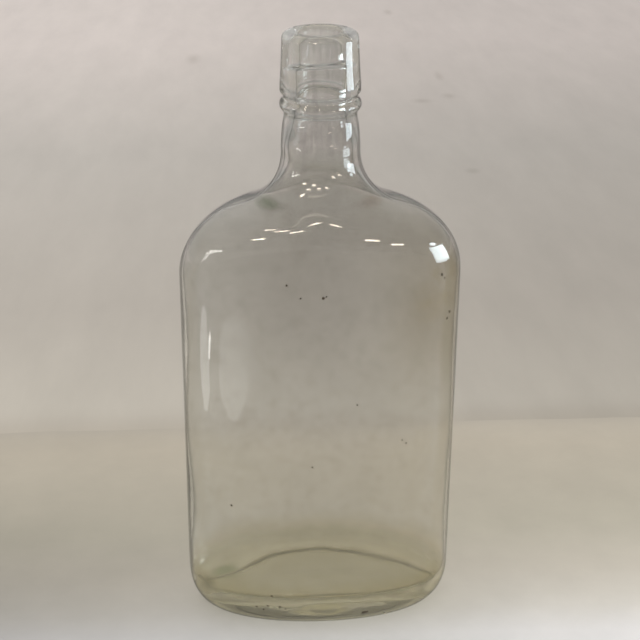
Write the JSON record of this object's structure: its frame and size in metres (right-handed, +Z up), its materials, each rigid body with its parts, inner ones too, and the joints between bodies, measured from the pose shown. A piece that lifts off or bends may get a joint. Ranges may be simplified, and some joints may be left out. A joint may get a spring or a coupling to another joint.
{
  "type": "medicine bottle",
  "caption": "Clear glass oval flask-type medicine bottle with rounded shoulders, a short round neck, a neck bead, a tall collar and an open mouth.",
  "frame": {"origin": "middle of the base, at the height of the resting ring", "axes": "+Z up through the mouth, +X along the wide way of the oval, +Y along the narrow way"},
  "size_m": [0.097, 0.053, 0.216],
  "materials": {
    "clear_glass": "smooth moulded glass with a faint straw tint, light haze and dust inside"
  },
  "bodies": {
    "root": {"glass_bottle": "clear_glass"}
  },
  "joints": []
}
